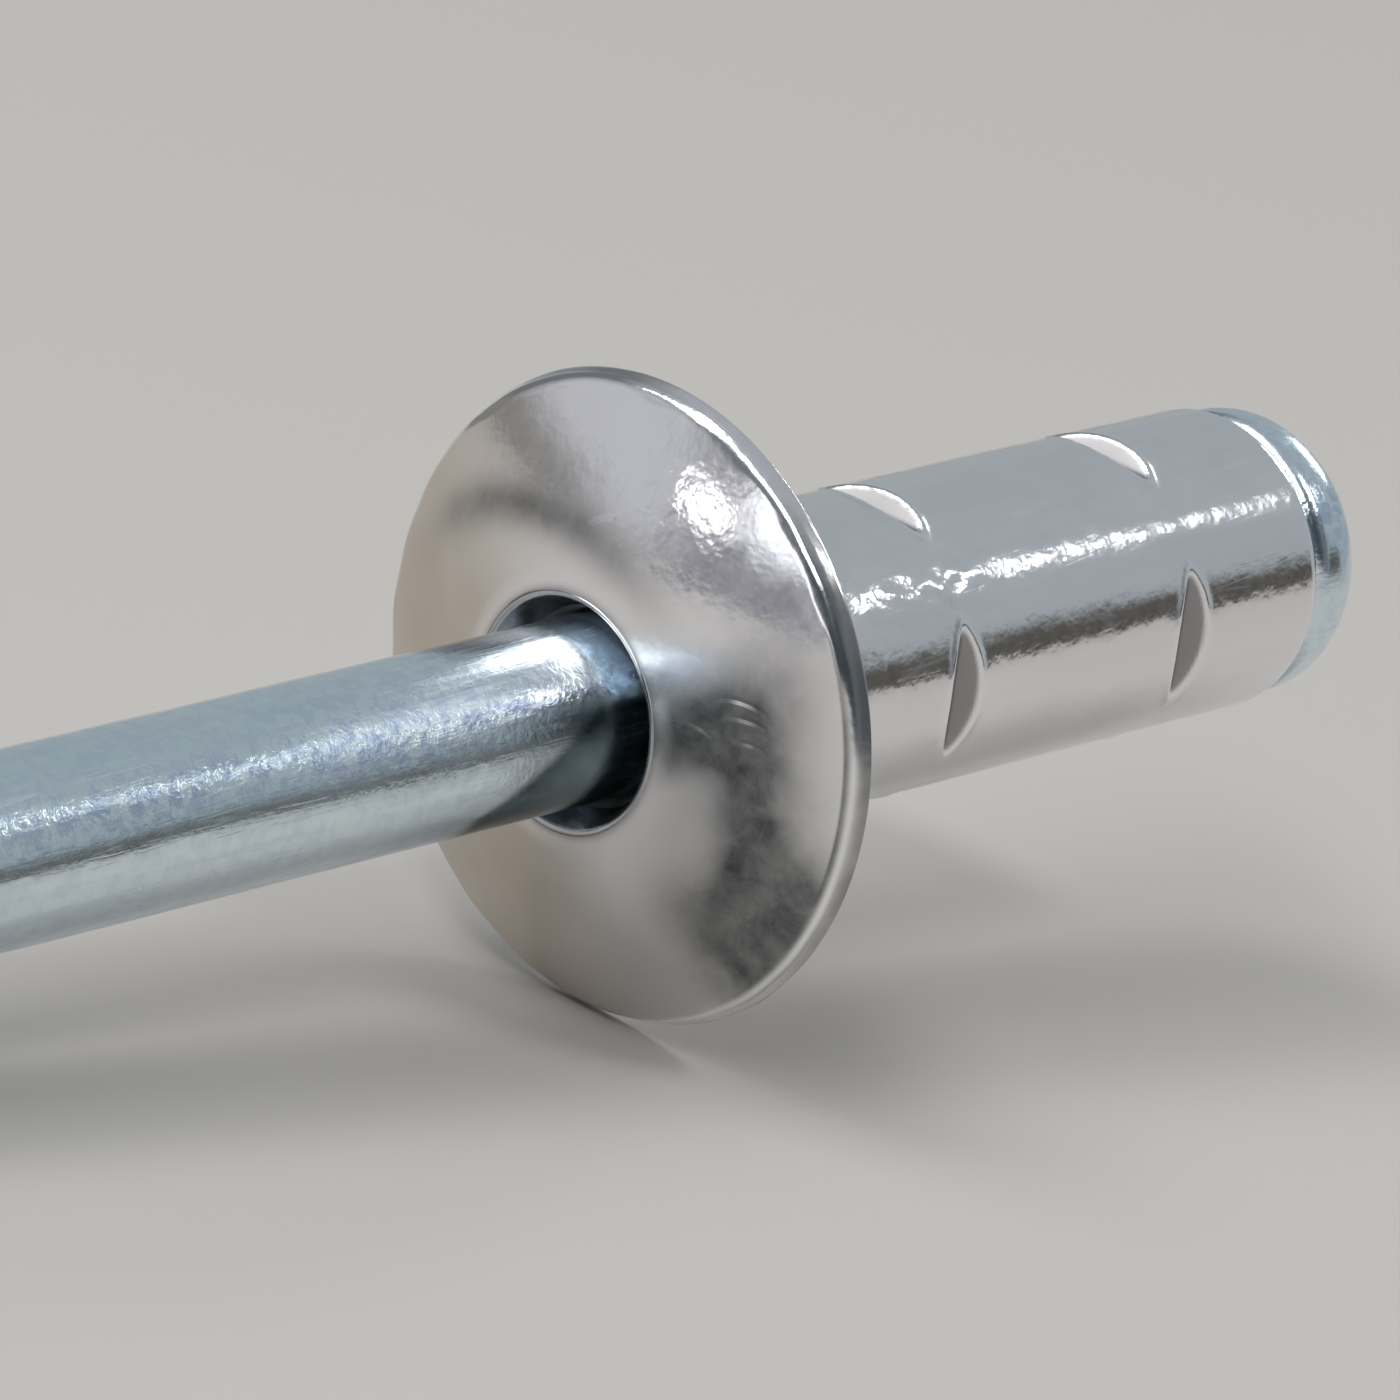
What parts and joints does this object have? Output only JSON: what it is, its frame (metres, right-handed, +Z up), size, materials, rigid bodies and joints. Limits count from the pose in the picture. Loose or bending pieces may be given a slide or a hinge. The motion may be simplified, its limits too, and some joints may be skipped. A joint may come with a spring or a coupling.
{
  "type": "pop rivet",
  "caption": "Multi-grip blind rivet before setting: domed aluminium flange and notched sleeve on a steel mandrel with a domed head; joins sheets from one side.",
  "frame": {"origin": "middle of the laid rivet's outline, on the surface it rests on", "axes": "+X from the mandrel's point towards the blind end, +Z up; the rivet's own axis lies in the XZ plane and rises 7.31 degrees towards the blind end"},
  "size_m": [0.0438, 0.01, 0.0099],
  "materials": {
    "aluminium_sleeve": "polished",
    "zinc_plated_steel": "satin"
  },
  "bodies": {
    "root": {"rivet_body": "aluminium_sleeve", "mandrel": "zinc_plated_steel"}
  },
  "joints": []
}
